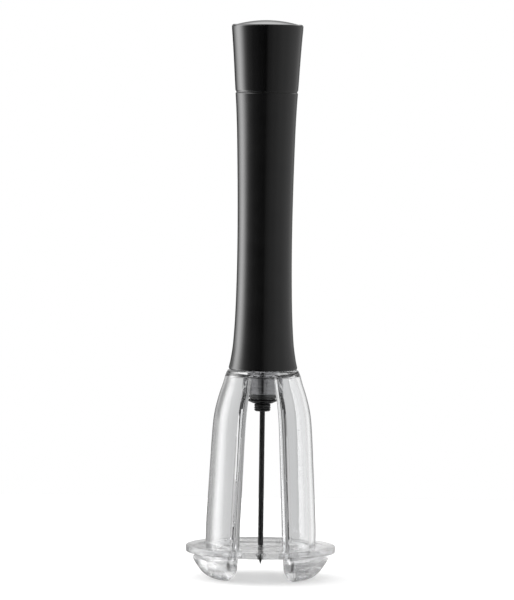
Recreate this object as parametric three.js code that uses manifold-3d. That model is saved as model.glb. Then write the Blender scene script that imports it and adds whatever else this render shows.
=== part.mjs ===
// Needle wine bottle opener with a gas cartridge: a clear two-legged guide stands over the bottle
// neck, a hollow needle goes through the cork, and a press on the cap lets gas down the needle.
// Millimetres, +Z up. The origin is on the table, on the needle's axis; the legs are at +X and -X.
import * as THREE from 'three';
import { mergeVertices } from 'three/addons/utils/BufferGeometryUtils.js';
import Module from 'manifold-3d';

const wasm = await Module();
wasm.setup();

// Driving dimensions
const GAP = 0.3; // left between pieces that touch on the real object
const FINE = 40; // sides of the large turned pieces
const MEDIUM = 24; // sides of the middle-sized turned pieces
const SMALL = 12; // sides of pins, the needle and other thin pieces

const JAW = { top: 11.7, inner: 16.3, flat: 20.5, outer: 30.9, widest: 9.0, belly: 2.2 };
const JAW_SLIT = { halfWidth: 10.3, cornerWidth: 6.5, cornerHeight: 9.0 };
const DISC = { bottom: 12.0, top: 14.9, radius: 34.0, hole: 1.6, slotIn: 17.0, slotOut: 25.5 };
const LEG = { bottom: 6.5, shoulder: 12.0, wall: 2.7, lip: 1.7, lipAngle: 6.5, tongue: 13.2 };
const SLOT = { topAngle: 23.0, bottomAngle: 28.5, top: 92.8 };
const DECK = { bottom: 92.8, top: 95.0 };
const BOSS = { radius: 7.7, bottom: 82.0, bore: 5.0, recess: 6.6, recessTop: 84.6 };
const SPIGOT = { inner: 10.4, outer: 12.2, top: 108.0 };

const WHEEL = { radius: 4.2, thick: 0.6, bottom: 3.7, orbit: 19.6, angle: 30, bore: 0.94 };
const PIN = { radius: 0.9, bottom: 0.5, top: 5.4 };

const NEEDLE = { radius: 1.2, bore: 0.5, tip: 6.1, taper: 3.5, boreEnd: 10.0, port: 11.5, top: 95.0 };
const NUT = { radius: 3.75, bottom: 76.2, top: 79.6 };
const HUB = { flange: 6.75, bottom: 79.9, flangeTop: 81.5 };
const CORE = { radius: 4.7, bottom: 81.8, shoulder: 95.0, stem: 3.0, top: 100.5, channel: 0.6 };
const HUB_SEAL = { inner: 5.0, outer: 6.3, bottom: 81.8, top: 84.3 };
const SOCKET = { radius: 1.8, floor: 96.2, ringRadius: 2.4, ringBottom: 98.2 };
const STEM_RING = { inner: 1.6, outer: 2.3, bottom: 98.2, top: 99.4 };
const LOCK_NUT = { across: 11.0, bottom: 95.3, top: 98.3, bore: 3.25 };

const BARREL = { bottom: 95.3, top: 221.2, bore: 10.95, socket: 12.5, socketTop: 108.5, rim: 211.7 };
const SLEEVE = { inner: 11.2, outer: 12.2, bottom: 212.0, top: 240.0 };
const COLLAR = { radius: 13.3, bottom: 221.5, top: 222.6 };
const CAP = { bottom: 221.9, bore: 12.5, ceiling: 246.0, recess: 14.7, recessFloor: 249.1, rim: 252.2 };
const CAP_STEP = { radius: 13.6, top: 223.5 };
const DOME = { radius: 14.4, bottom: 249.4, edge: 252.1, top: 254.1 };
const PLUNGER = { pad: 9.5, padTop: 231.0, post: 5.0, bottom: 228.3, top: 245.7 };

const CAN = { radius: 10.5, neck: 8.9, bottom: 106.0, top: 228.0, wall: 0.5, shoulder: 111.0 };
const FERRULE = { outer: 10.0, inner: 9.3, floor: 102.2, floorTop: 103.0, top: 109.8, hole: 2.6 };
const GASKET = { inner: 4.3, outer: 9.0, bottom: 103.3, top: 105.7 };
const HOUSING = { outer: 4.0, bore: 2.4, bottom: 103.3, boreTop: 113.5, top: 115.5, recess: 3.05 };
const STEM_SEAL = { inner: 1.7, outer: 2.8, bottom: 103.4, top: 104.4 };
const STEM = { radius: 1.5, bore: 0.6, bottom: 96.5, collar: 2.1, collarBottom: 105.0, collarTop: 106.4 };
const SPRING = { wire: 0.3, radius: 1.75, bottom: 106.6, top: 113.2, turns: 4 };

// Turned outlines as radius and height
const BELL_OUTLINE = [
  [25.1, 19.0], [24.92, 26.3], [24.2, 40.0], [23.47, 53.8], [22.69, 67.5], [21.78, 75.7],
  [20.0, 83.1], [18.22, 88.5], [17.2, 92.2], [16.5, 94.0], [16.1, DECK.top],
];
const BARREL_OUTLINE = [
  [15.6, 96.3], [14.73, 100.4], [13.68, 108.6], [12.84, 124.6], [12.45, 148.0], [12.6, 172.4],
  [13.19, 199.7], [13.72, 213.3], [14.17, 220.6],
];
const CAP_OUTLINE = [
  [14.25, 222.15], [14.59, 226.9], [15.14, 236.0], [15.78, 245.0], [16.17, 249.6], [16.24, 251.1],
];

// Materials
const finish = (color, roughness, metalness = 0) =>
  new THREE.MeshStandardMaterial({ color, roughness, metalness });

const clear = finish(0xdfe4e6, 0.08);
clear.transparent = true;
clear.opacity = 0.35;
const satinBlack = finish(0x17181a, 0.42);
const glossBlack = finish(0x0c0d0f, 0.12);
const innerBlack = finish(0x1c1d1f, 0.6);
const coating = finish(0x141416, 0.35);
const rubber = finish(0x202020, 0.85);
const steel = finish(0xb9bcc0, 0.25, 1.0);
const aluminium = finish(0xc9ccd0, 0.35, 1.0);
const whitePlastic = finish(0xe6e6e2, 0.5);

// Solids
function solid(geometry) {
  geometry.deleteAttribute('normal');
  geometry.deleteAttribute('uv');
  const merged = mergeVertices(geometry, 1e-4);
  const triVerts = [];
  for (let i = 0; i < merged.index.count; i += 3) {
    const [a, b, c] = [0, 1, 2].map((k) => merged.index.getX(i + k));
    if (a !== b && b !== c && c !== a) triVerts.push(a, b, c);
  }
  return new wasm.Manifold(new wasm.Mesh({
    numProp: 3,
    vertProperties: Float32Array.from(merged.attributes.position.array),
    triVerts: Uint32Array.from(outwards(merged.attributes.position, triVerts)),
  }));
}

// The same triangles, turned over if they enclose a negative volume
function outwards(position, triVerts) {
  const [a, b, c] = [new THREE.Vector3(), new THREE.Vector3(), new THREE.Vector3()];
  let volume = 0;
  for (let i = 0; i < triVerts.length; i += 3) {
    a.fromBufferAttribute(position, triVerts[i]);
    b.fromBufferAttribute(position, triVerts[i + 1]);
    c.fromBufferAttribute(position, triVerts[i + 2]);
    volume += a.dot(b.cross(c));
  }
  return volume < 0 ? triVerts.toReversed() : triVerts;
}

function toGeometry(manifold) {
  const { vertProperties, triVerts } = manifold.getMesh();
  const geometry = new THREE.BufferGeometry();
  geometry.setAttribute('position', new THREE.BufferAttribute(vertProperties, 3));
  geometry.setIndex(new THREE.BufferAttribute(triVerts, 1));
  geometry.computeVertexNormals();
  return geometry;
}

// A turned solid from [radius, height] points that close on themselves or start and end on the axis
function turned(points, sides) {
  const outline = points.map(([radius, height]) => new THREE.Vector2(radius, height));
  if (points[0][0] > 0) outline.push(outline[0].clone());
  return solid(new THREE.LatheGeometry(outline, sides).rotateX(Math.PI / 2));
}

function ring({ inner, outer, bottom, top }, sides) {
  return turned([[inner, bottom], [outer, bottom], [outer, top], [inner, top]], sides);
}

function rod(radius, bottom, top, sides) {
  return turned([[0, bottom], [radius, bottom], [radius, top], [0, top]], sides);
}

// An outline in X and Y raised from one height to another
function raised(outline, bottom, top, curveSegments = 12) {
  const options = { depth: top - bottom, bevelEnabled: false, curveSegments };
  return solid(new THREE.ExtrudeGeometry(outline, options)).translate([0, 0, bottom]);
}

// A smooth curve through [radius, height] points
function smooth(points, steps) {
  const curve = new THREE.SplineCurve(points.map(([x, y]) => new THREE.Vector2(x, y)));
  return curve.getPoints(steps).map((point) => [point.x, point.y]);
}

// A quarter of an ellipse between two [radius, height] points, its first end upright or level
function quarter([x0, y0], [x1, y1], uprightFirst, steps) {
  return Array.from({ length: steps + 1 }, (_, i) => {
    const turn = (i / steps) * (Math.PI / 2);
    const early = Math.sin(turn);
    const late = 1 - Math.cos(turn);
    return uprightFirst
      ? [x0 + (x1 - x0) * late, y0 + (y1 - y0) * early]
      : [x0 + (x1 - x0) * early, y0 + (y1 - y0) * late];
  });
}

// A piece of a ring around the Z axis, up to an angle each side of the X axis
function arcSector(inner, outer, halfAngle) {
  const half = THREE.MathUtils.degToRad(halfAngle);
  const shape = new THREE.Shape();
  shape.absarc(0, 0, outer, -half, half, false);
  shape.absarc(0, 0, inner, half, -half, true);
  return shape;
}

// A slab with everything between two X values, taller and wider than the object's guide
function slab(fromX, toX, bottom, top) {
  const reach = 80;
  const box = new THREE.BoxGeometry(toX - fromX, reach, top - bottom);
  return solid(box).translate([(fromX + toX) / 2, 0, (bottom + top) / 2]);
}

// A wedge that opens towards -Y, with its edge on the axis, narrow at the top and wide at the bottom
function slotWedge(topAngle, bottomAngle, bottom, top) {
  const reach = 60;
  const halfTop = reach * Math.tan(THREE.MathUtils.degToRad(topAngle));
  const halfBottom = reach * Math.tan(THREE.MathUtils.degToRad(bottomAngle));
  const corners = [
    [0, 0, bottom], [-halfBottom, -reach, bottom], [halfBottom, -reach, bottom],
    [0, 0, top], [-halfTop, -reach, top], [halfTop, -reach, top],
  ];
  const faces = [0, 2, 1, 3, 4, 5, 0, 1, 4, 0, 4, 3, 0, 3, 5, 0, 5, 2, 1, 2, 5, 1, 5, 4];
  const geometry = new THREE.BufferGeometry();
  geometry.setAttribute('position', new THREE.Float32BufferAttribute(corners.flat(), 3));
  geometry.setIndex(faces);
  return solid(geometry);
}

// The assembly
const opener = new THREE.Group();

function piece(name, manifold, material) {
  const mesh = new THREE.Mesh(toGeometry(manifold), material);
  mesh.name = name;
  opener.add(mesh);
  return mesh;
}

// Clear bottle guide: spigot, deck with its boss, and a bell cut into two legs
function bellInside(inset) {
  const curve = smooth(BELL_OUTLINE.slice(0, 9), 9).map(([radius, height]) => [radius - inset, height]);
  const below = curve.filter(([, height]) => height < DECK.bottom - 2);
  const [lastRadius] = below.at(-1);
  return turned([
    [0, LEG.bottom - 1], [below[0][0], LEG.bottom - 1], ...below,
    [lastRadius - 2.5, DECK.bottom], [0, DECK.bottom],
  ], FINE);
}

function bellOutside() {
  return turned([
    [0, LEG.bottom], [BELL_OUTLINE[0][0], LEG.bottom], ...smooth(BELL_OUTLINE, 12), [0, DECK.top],
  ], FINE);
}

// The hollow inside each leg, which stops short of the slots so that a lip stiffens both edges
function legPockets() {
  const { topAngle, bottomAngle, top } = SLOT;
  const lips = slotWedge(topAngle + LEG.lipAngle, bottomAngle + LEG.lipAngle, LEG.bottom - 2, top + 1);
  return bellInside(LEG.wall).subtract(lips).subtract(lips.rotate([0, 0, 180]));
}

function bottleGuide() {
  const slot = slotWedge(SLOT.topAngle, SLOT.bottomAngle, LEG.bottom - 1, SLOT.top);
  const spigot = ring({ ...SPIGOT, bottom: DECK.top - 0.1 }, FINE);
  const boss = turned([
    [BOSS.bore, BOSS.recessTop], [BOSS.recess, BOSS.recessTop], [BOSS.recess, BOSS.bottom],
    [BOSS.radius, BOSS.bottom], [BOSS.radius + 0.6, DECK.top - 0.5], [BOSS.bore, DECK.top - 0.5],
  ], MEDIUM);
  return bellOutside()
    .subtract(bellInside(LEG.wall + LEG.lip))
    .subtract(legPockets())
    .subtract(slot)
    .subtract(slot.rotate([0, 0, 180]))
    .subtract(slab(-LEG.tongue, LEG.tongue, LEG.bottom - 1, LEG.shoulder))
    .add(spigot)
    .add(boss)
    .subtract(rod(BOSS.bore, BOSS.bottom, DECK.top + 1, MEDIUM));
}

// Foil-cutter jaws: a thick clear shoe on each leg, with pockets for its two wheels
function jawBlank() {
  const steps = 6;
  const belly = Array.from({ length: steps + 1 }, (_, i) => {
    const share = i / steps;
    return [JAW.flat + (JAW.outer - JAW.flat) * share, JAW.widest * share ** JAW.belly];
  });
  const rounded = turned([
    [JAW.inner, 0], ...belly, [JAW.outer - 0.6, JAW.widest + 0.8], [JAW.outer - 2.2, JAW.widest + 1.5],
    [JAW.outer - 3.4, JAW.top], [JAW.inner + 0.6, JAW.top], [JAW.inner, JAW.top - 0.6],
  ], FINE);
  const { halfWidth, cornerWidth, cornerHeight } = JAW_SLIT;
  const side = new THREE.Shape();
  side.moveTo(halfWidth, JAW.top + 1);
  side.lineTo(halfWidth, cornerHeight);
  side.absellipse(
    halfWidth + cornerWidth, cornerHeight, cornerWidth, cornerHeight, Math.PI, 1.5 * Math.PI, false);
  side.lineTo(JAW.outer + 1, 0);
  side.lineTo(JAW.outer + 1, JAW.top + 1);
  const reach = 80;
  const options = { depth: reach, bevelEnabled: false, curveSegments: 5 };
  const keep = solid(new THREE.ExtrudeGeometry(side, options).rotateX(Math.PI / 2));
  return rounded.intersect(keep.translate([0, reach / 2, 0]));
}

function wheelPlaces() {
  const turn = THREE.MathUtils.degToRad(WHEEL.angle);
  return [-turn, turn].map((angle) => [WHEEL.orbit * Math.cos(angle), WHEEL.orbit * Math.sin(angle)]);
}

function jaw() {
  const legRadius = BELL_OUTLINE[0][0];
  const socket = ring({
    inner: legRadius - LEG.wall - GAP, outer: legRadius + GAP, bottom: LEG.bottom - GAP, top: JAW.top + 1,
  }, FINE).intersect(slab(LEG.tongue - GAP, JAW.outer, 0, JAW.top + 2));
  let blank = jawBlank().subtract(socket);
  for (const [x, y] of wheelPlaces()) {
    const pocket = rod(WHEEL.radius + 0.4, WHEEL.bottom - 0.5, WHEEL.bottom + WHEEL.thick + 0.5, MEDIUM);
    const hole = rod(PIN.radius + 0.2, -1, PIN.top + 0.2, SMALL);
    blank = blank.subtract(pocket.add(hole).translate([x, y, 0]));
  }
  return blank;
}

function cutterWheel() {
  const middle = WHEEL.bottom + WHEEL.thick / 2;
  const hub = WHEEL.radius - 1.1;
  const top = WHEEL.bottom + WHEEL.thick;
  return turned([
    [WHEEL.bore, WHEEL.bottom], [hub, WHEEL.bottom], [WHEEL.radius, middle], [hub, top],
    [WHEEL.bore, top],
  ], MEDIUM);
}

// Clear ejector disc, which rides up the legs and pushes the cork off the needle
function ejectorDisc() {
  const rounding = 0.4;
  const blank = turned([
    [DISC.hole, DISC.bottom], [DISC.radius - rounding, DISC.bottom],
    [DISC.radius, DISC.bottom + rounding], [DISC.radius, DISC.top - rounding],
    [DISC.radius - rounding, DISC.top], [DISC.hole, DISC.top],
  ], FINE);
  const legSlot = raised(
    arcSector(DISC.slotIn, DISC.slotOut, 91 - SLOT.topAngle), DISC.bottom - 1, DISC.top + 1, 10);
  return blank.subtract(legSlot).subtract(legSlot.rotate([0, 0, 180]));
}

// Needle and hub
function needle() {
  const turnedNeedle = turned([
    [0, NEEDLE.tip], [NEEDLE.radius, NEEDLE.tip + NEEDLE.taper], [NEEDLE.radius, NEEDLE.top],
    [NEEDLE.bore, NEEDLE.top], [NEEDLE.bore, NEEDLE.boreEnd], [0, NEEDLE.boreEnd],
  ], SMALL);
  const port = rod(NEEDLE.bore * 0.7, -3, 3, 8).rotate([90, 0, 0]).translate([0, 0, NEEDLE.port]);
  return turnedNeedle.subtract(port);
}

function needleNut() {
  const bore = NEEDLE.radius + GAP;
  const step = 0.5;
  return turned([
    [bore, NUT.bottom], [NUT.radius - step, NUT.bottom], [NUT.radius, NUT.bottom + step],
    [NUT.radius, NUT.top - step], [NUT.radius - step, NUT.top], [bore, NUT.top],
  ], MEDIUM);
}

function needleHub() {
  return turned([
    [NEEDLE.radius + 0.2, HUB.bottom], [HUB.flange - 2.3, HUB.bottom],
    [HUB.flange, HUB.flangeTop - 0.6], [HUB.flange, HUB.flangeTop],
    [NEEDLE.radius + 0.2, HUB.flangeTop],
  ], MEDIUM);
}

// Steel core in the boss, which carries gas from the valve stem's socket to the needle
function hubCore() {
  const needleBore = NEEDLE.radius + 0.2;
  const needleEnd = NEEDLE.top + 0.2;
  return turned([
    [needleBore, CORE.bottom], [CORE.radius, CORE.bottom], [CORE.radius, CORE.shoulder],
    [CORE.stem, CORE.shoulder], [CORE.stem, CORE.top], [SOCKET.ringRadius, CORE.top],
    [SOCKET.ringRadius, SOCKET.ringBottom - 0.2], [SOCKET.radius, SOCKET.ringBottom - 0.2],
    [SOCKET.radius, SOCKET.floor], [CORE.channel, SOCKET.floor], [CORE.channel, needleEnd],
    [needleBore, needleEnd],
  ], MEDIUM);
}

function lockNut() {
  const hexagon = new THREE.Shape();
  const corner = LOCK_NUT.across / 2 / Math.cos(Math.PI / 6);
  for (let i = 0; i < 6; i += 1) {
    const angle = (i * Math.PI) / 3;
    hexagon.lineTo(corner * Math.cos(angle), corner * Math.sin(angle));
  }
  return raised(hexagon, LOCK_NUT.bottom, LOCK_NUT.top)
    .subtract(rod(LOCK_NUT.bore, LOCK_NUT.bottom - 1, LOCK_NUT.top + 1, MEDIUM));
}

// Handle: slim waisted barrel
function handleBarrel() {
  const foot = [[15.2, BARREL.bottom], [15.55, 95.6]];
  return turned([
    [BARREL.socket, BARREL.bottom], ...foot, ...smooth(BARREL_OUTLINE, 11),
    [14.0, BARREL.top], [BARREL.socket, BARREL.top], [BARREL.socket, BARREL.rim],
    [BARREL.bore, BARREL.rim], [BARREL.bore, BARREL.socketTop], [BARREL.socket, BARREL.socketTop],
  ], FINE);
}

// Sleeve in the barrel's top for the cap to slide on, with a collar that fills the seam between them
function guideSleeve() {
  return turned([
    [SLEEVE.inner, SLEEVE.bottom], [SLEEVE.outer, SLEEVE.bottom], [SLEEVE.outer, COLLAR.bottom],
    [COLLAR.radius, COLLAR.bottom], [COLLAR.radius, COLLAR.top], [SLEEVE.outer, COLLAR.top],
    [SLEEVE.outer, SLEEVE.top], [SLEEVE.inner, SLEEVE.top],
  ], FINE);
}

// Press cap: shell, domed top and the plunger that bears on the cartridge
function pressCap() {
  const edge = quarter(CAP_OUTLINE.at(-1), [15.0, CAP.rim], true, 4).slice(1);
  return turned([
    [0, CAP.ceiling], [CAP.bore, CAP.ceiling], [CAP.bore, CAP_STEP.top],
    [CAP_STEP.radius, CAP_STEP.top], [CAP_STEP.radius, CAP.bottom], [14.05, CAP.bottom],
    ...smooth(CAP_OUTLINE, 6), ...edge, [CAP.recess, CAP.rim], [CAP.recess, CAP.recessFloor],
    [0, CAP.recessFloor],
  ], FINE);
}

function capDome() {
  const steps = 5;
  const crown = Array.from({ length: steps + 1 }, (_, i) => {
    const share = 1 - i / steps;
    return [DOME.radius * share, DOME.top - (DOME.top - DOME.edge) * share ** 2];
  });
  return turned([[0, DOME.bottom], [DOME.radius, DOME.bottom], ...crown], FINE);
}

function capPlunger() {
  return turned([
    [0, PLUNGER.bottom], [PLUNGER.pad, PLUNGER.bottom], [PLUNGER.pad, PLUNGER.padTop],
    [PLUNGER.post, PLUNGER.padTop + 1.5], [PLUNGER.post, PLUNGER.top], [0, PLUNGER.top],
  ], MEDIUM);
}

// Gas cartridge, standing on its valve
function cartridgeCan() {
  const bend = 3.5;
  const shoulderTop = CAN.shoulder + bend;
  const heel = 1.5;
  const dent = 4.0;
  return turned([
    [0, CAN.top - dent - CAN.wall], [CAN.radius - CAN.wall - heel, CAN.top - heel],
    [CAN.radius - CAN.wall, CAN.top - heel - 1], [CAN.radius - CAN.wall, shoulderTop],
    [CAN.neck - CAN.wall, CAN.shoulder], [CAN.neck - CAN.wall, CAN.bottom],
    [CAN.neck, CAN.bottom], [CAN.neck, CAN.shoulder - 0.2], [CAN.radius, shoulderTop - 0.2],
    [CAN.radius, CAN.top - heel], [CAN.radius - heel, CAN.top], [0, CAN.top - dent],
  ], MEDIUM);
}

function valveFerrule() {
  return turned([
    [FERRULE.hole, FERRULE.floor], [FERRULE.outer - 0.5, FERRULE.floor],
    [FERRULE.outer, FERRULE.floor + 0.5], [FERRULE.outer, FERRULE.top],
    [FERRULE.inner, FERRULE.top], [FERRULE.inner, FERRULE.floorTop], [FERRULE.hole, FERRULE.floorTop],
  ], MEDIUM);
}

function valveHousing() {
  const inlet = 0.8;
  const flange = 7.0;
  return turned([
    [HOUSING.recess, HOUSING.bottom], [HOUSING.outer, HOUSING.bottom],
    [HOUSING.outer, GASKET.top + GAP], [flange, GASKET.top + GAP], [flange, GASKET.top + 1.4],
    [HOUSING.outer, GASKET.top + 1.4], [HOUSING.outer, HOUSING.top], [inlet, HOUSING.top],
    [inlet, HOUSING.boreTop], [HOUSING.bore, HOUSING.boreTop], [HOUSING.bore, STEM_SEAL.top + GAP],
    [HOUSING.recess, STEM_SEAL.top + GAP],
  ], MEDIUM);
}

function valveStem() {
  const boreEnd = STEM.collarBottom - 1;
  return turned([
    [STEM.bore, STEM.bottom], [STEM.radius, STEM.bottom], [STEM.radius, STEM.collarBottom],
    [STEM.collar, STEM.collarBottom], [STEM.collar, STEM.collarTop], [0, STEM.collarTop],
    [0, boreEnd], [STEM.bore, boreEnd],
  ], SMALL);
}

class Helix extends THREE.Curve {
  getPoint(t, target = new THREE.Vector3()) {
    const angle = t * SPRING.turns * 2 * Math.PI;
    const low = SPRING.bottom + SPRING.wire;
    const high = SPRING.top - SPRING.wire;
    return target.set(
      SPRING.radius * Math.cos(angle), SPRING.radius * Math.sin(angle), low + (high - low) * t);
  }
}

function valveSpring() {
  const section = new THREE.Shape();
  section.absarc(0, 0, SPRING.wire, 0, 2 * Math.PI, false);
  const steps = SPRING.turns * 10;
  const options = { steps, extrudePath: new Helix(), curveSegments: 3, bevelEnabled: false };
  return solid(new THREE.ExtrudeGeometry(section, options));
}

piece('bottle_guide', bottleGuide(), clear);
for (const [side, turn] of [['right', 0], ['left', 180]]) {
  piece(`foil_cutter_jaw_${side}`, jaw().rotate([0, 0, turn]), clear);
  wheelPlaces().forEach(([x, y], index) => {
    const wheel = cutterWheel().translate([x, y, 0]).rotate([0, 0, turn]);
    const pin = rod(PIN.radius, PIN.bottom, PIN.top, SMALL).translate([x, y, 0]).rotate([0, 0, turn]);
    piece(`cutter_wheel_${side}_${index + 1}`, wheel, steel);
    piece(`wheel_pin_${side}_${index + 1}`, pin, steel);
  });
}
piece('ejector_disc', ejectorDisc(), clear);
piece('needle', needle(), coating);
piece('needle_nut', needleNut(), innerBlack);
piece('needle_hub', needleHub(), innerBlack);
piece('hub_core', hubCore(), steel);
piece('hub_seal', ring(HUB_SEAL, MEDIUM), rubber);
piece('hub_lock_nut', lockNut(), steel);
piece('stem_o_ring', ring(STEM_RING, SMALL), rubber);
piece('handle_barrel', handleBarrel(), satinBlack);
piece('guide_sleeve', guideSleeve(), innerBlack);
piece('press_cap', pressCap(), glossBlack);
piece('cap_dome', capDome(), glossBlack);
piece('cap_plunger', capPlunger(), innerBlack);
piece('cartridge_can', cartridgeCan(), aluminium);
piece('valve_ferrule', valveFerrule(), aluminium);
piece('valve_gasket', ring(GASKET, MEDIUM), rubber);
piece('valve_housing', valveHousing(), whitePlastic);
piece('stem_gasket', ring(STEM_SEAL, SMALL), rubber);
piece('valve_stem', valveStem(), whitePlastic);
piece('valve_spring', valveSpring(), steel);

export default opener;
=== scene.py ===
# Looks for the needle wine bottle opener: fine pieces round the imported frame, materials, light and camera.
# Outlines are in millimetres, as radius and height; MM turns them into Blender's metres.
import math

import bmesh
import bpy
from mathutils import Matrix, Vector


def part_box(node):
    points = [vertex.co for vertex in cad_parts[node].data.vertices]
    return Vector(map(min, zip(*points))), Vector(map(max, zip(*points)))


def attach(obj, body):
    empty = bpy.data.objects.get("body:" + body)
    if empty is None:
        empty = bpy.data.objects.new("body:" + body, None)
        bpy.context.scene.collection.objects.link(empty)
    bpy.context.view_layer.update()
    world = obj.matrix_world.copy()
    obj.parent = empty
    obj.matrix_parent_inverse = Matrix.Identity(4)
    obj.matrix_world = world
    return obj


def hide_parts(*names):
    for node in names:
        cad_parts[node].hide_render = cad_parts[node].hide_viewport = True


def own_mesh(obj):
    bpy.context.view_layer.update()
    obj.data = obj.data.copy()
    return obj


MM = 0.001
ROUND = 144  # sides of the large turned pieces
SMALL_ROUND = 64  # sides of the small turned pieces

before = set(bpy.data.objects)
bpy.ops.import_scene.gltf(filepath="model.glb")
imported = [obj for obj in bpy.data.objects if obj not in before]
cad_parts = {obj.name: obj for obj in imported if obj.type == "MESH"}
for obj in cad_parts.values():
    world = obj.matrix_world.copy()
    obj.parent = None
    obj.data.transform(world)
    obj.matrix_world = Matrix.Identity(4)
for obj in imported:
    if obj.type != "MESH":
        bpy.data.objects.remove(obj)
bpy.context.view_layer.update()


# Heights and radii read from the frame, in millimetres
BOXES = {node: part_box(node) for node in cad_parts}


def low(node, axis=2):
    return BOXES[node][0][axis] / MM


def high(node, axis=2):
    return BOXES[node][1][axis] / MM


# ---------------------------------------------------------------- mesh helpers

def loose_piece(name, builder):
    """An object with the mesh that the builder fills, not yet part of any body."""
    mesh = bpy.data.meshes.new(name)
    bm = bmesh.new()
    builder(bm)
    bmesh.ops.recalc_face_normals(bm, faces=bm.faces)
    bm.to_mesh(mesh)
    bm.free()
    piece = bpy.data.objects.new(name, mesh)
    bpy.context.scene.collection.objects.link(piece)
    return piece


def new_piece(name, builder, body, slot, replaced=(), smooth_angle=32):
    """A finished piece that rides on a body and stands in for the replaced CAD nodes."""
    piece = loose_piece(name, builder)
    shade(piece, smooth_angle)
    settle(piece, body, slot, replaced)
    return piece


def shade(piece, smooth_angle):
    """Smooth shading, with edges sharper than the angle in degrees left sharp."""
    mesh = piece.data
    mesh.polygons.foreach_set("use_smooth", [True] * len(mesh.polygons))
    mesh.set_sharp_from_angle(angle=math.radians(smooth_angle))


def settle(piece, body, slot, replaced=()):
    """Ties a piece to its body, hides the CAD nodes it replaces and gives it its slot's look."""
    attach(piece, body)
    if replaced:
        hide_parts(*replaced)
    piece.data.materials.clear()
    piece.data.materials.append(MATERIALS[slot])


def ease_edges(piece, width):
    """A fine bevel, width in millimetres, along every sharp edge."""
    bevel = piece.modifiers.new("edges", "BEVEL")
    bevel.width = width * MM
    bevel.segments = 3
    bevel.limit_method = "ANGLE"
    bevel.angle_limit = math.radians(50)


def rounded(outline, radius, steps=4):
    """The same closed or open outline with its corners turned into small arcs."""
    result = []
    count = len(outline)
    for i, corner in enumerate(outline):
        before, after = outline[i - 1], outline[(i + 1) % count]
        a, b, c = Vector(before), Vector(corner), Vector(after)
        in_way, out_way = b - a, c - b
        turn = in_way.angle(out_way, 0) if in_way.length and out_way.length else 0
        on_axis = corner[0] < 1e-6
        if turn < math.radians(24) or on_axis:
            result.append(tuple(b))
            continue
        trim = min(radius * math.tan(turn / 2), in_way.length * 0.45, out_way.length * 0.45)
        start, end = b - in_way.normalized() * trim, b + out_way.normalized() * trim
        for k in range(steps + 1):
            t = k / steps
            result.append(tuple(start * (1 - t) ** 2 + b * 2 * t * (1 - t) + end * t ** 2))
    return result


def spline(points, steps):
    """A smooth Catmull-Rom curve through the points, with so many steps between each two."""
    result = []
    for i in range(len(points) - 1):
        p0 = Vector(points[max(i - 1, 0)])
        p1, p2 = Vector(points[i]), Vector(points[i + 1])
        p3 = Vector(points[min(i + 2, len(points) - 1)])
        for k in range(steps):
            t = k / steps
            result.append(tuple(0.5 * (
                2 * p1 + (p2 - p0) * t + (2 * p0 - 5 * p1 + 4 * p2 - p3) * t ** 2
                + (3 * p1 - p0 - 3 * p2 + p3) * t ** 3)))
    result.append(tuple(points[-1]))
    return result


def turn_outline(bm, outline, sides, centre=(0, 0)):
    """Spins a closed outline of radius and height round a vertical axis. Points on the axis are shared."""
    columns = []
    poles = {}
    for i in range(sides):
        angle = 2 * math.pi * i / sides
        column = []
        for k, (radius, height) in enumerate(outline):
            if radius < 1e-6:
                if k not in poles:
                    poles[k] = bm.verts.new((centre[0] * MM, centre[1] * MM, height * MM))
                column.append(poles[k])
            else:
                x = centre[0] + radius * math.cos(angle)
                y = centre[1] + radius * math.sin(angle)
                column.append(bm.verts.new((x * MM, y * MM, height * MM)))
        columns.append(column)
    closed = outline[0][0] > 1e-6
    for i in range(sides):
        a, b = columns[i], columns[(i + 1) % sides]
        for k in range(len(outline) - (0 if closed else 1)):
            n = (k + 1) % len(outline)
            corners = []
            for v in (a[k], b[k], b[n], a[n]):
                if v not in corners:
                    corners.append(v)
            if len(corners) > 2:
                bm.faces.new(corners)


def section(node):
    """The outline of a turned CAD node and its axis, cut from its mesh on the +X side of that axis."""
    lo, hi = BOXES[node]
    centre = (lo + hi) / 2
    bm = bmesh.new()
    bm.from_mesh(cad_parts[node].data)
    bmesh.ops.remove_doubles(bm, verts=bm.verts, dist=1e-6)
    found = bmesh.ops.bisect_plane(
        bm, geom=bm.verts[:] + bm.edges[:] + bm.faces[:], dist=1e-7, plane_co=centre,
        plane_no=Vector((0, 1, 0)), clear_inner=True, clear_outer=True)
    edges = [e for e in found["geom_cut"] if isinstance(e, bmesh.types.BMEdge)]
    keep = [e for e in edges if all(v.co.x > centre.x - 1e-7 for v in e.verts)]
    points = {v: ((v.co.x - centre.x) / MM, v.co.z / MM) for e in keep for v in e.verts}
    links = {v: [e.other_vert(v) for e in keep if v in e.verts] for v in points}
    ends = [v for v in points if len(links[v]) == 1]
    at = min(ends or points, key=lambda v: (points[v][1], points[v][0]))
    order = [at]
    while True:
        onward = [v for v in links[at] if v not in order]
        if not onward:
            break
        at = onward[0]
        order.append(at)
    outline = [points[v] for v in order]
    bm.free()
    return straightened(outline), (centre.x / MM, centre.y / MM)


def straightened(outline):
    """Drops the points that lie on a straight line between their neighbours."""
    result = []
    count = len(outline)
    for i, point in enumerate(outline):
        a, b, c = Vector(outline[i - 1]), Vector(point), Vector(outline[(i + 1) % count])
        ways = (b - a, c - b)
        if all(w.length > 1e-4 for w in ways) and ways[0].angle(ways[1]) < math.radians(0.6):
            continue
        radius, height = point
        result.append((radius if radius > 1e-3 else 0.0, height))
    return result


# ---------------------------------------------------------------- materials

def start_material(name):
    """A new material with its node tree and its Principled node."""
    material = bpy.data.materials.new(name)
    material.use_nodes = True
    tree = material.node_tree
    return material, tree, tree.nodes["Principled BSDF"]


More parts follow.
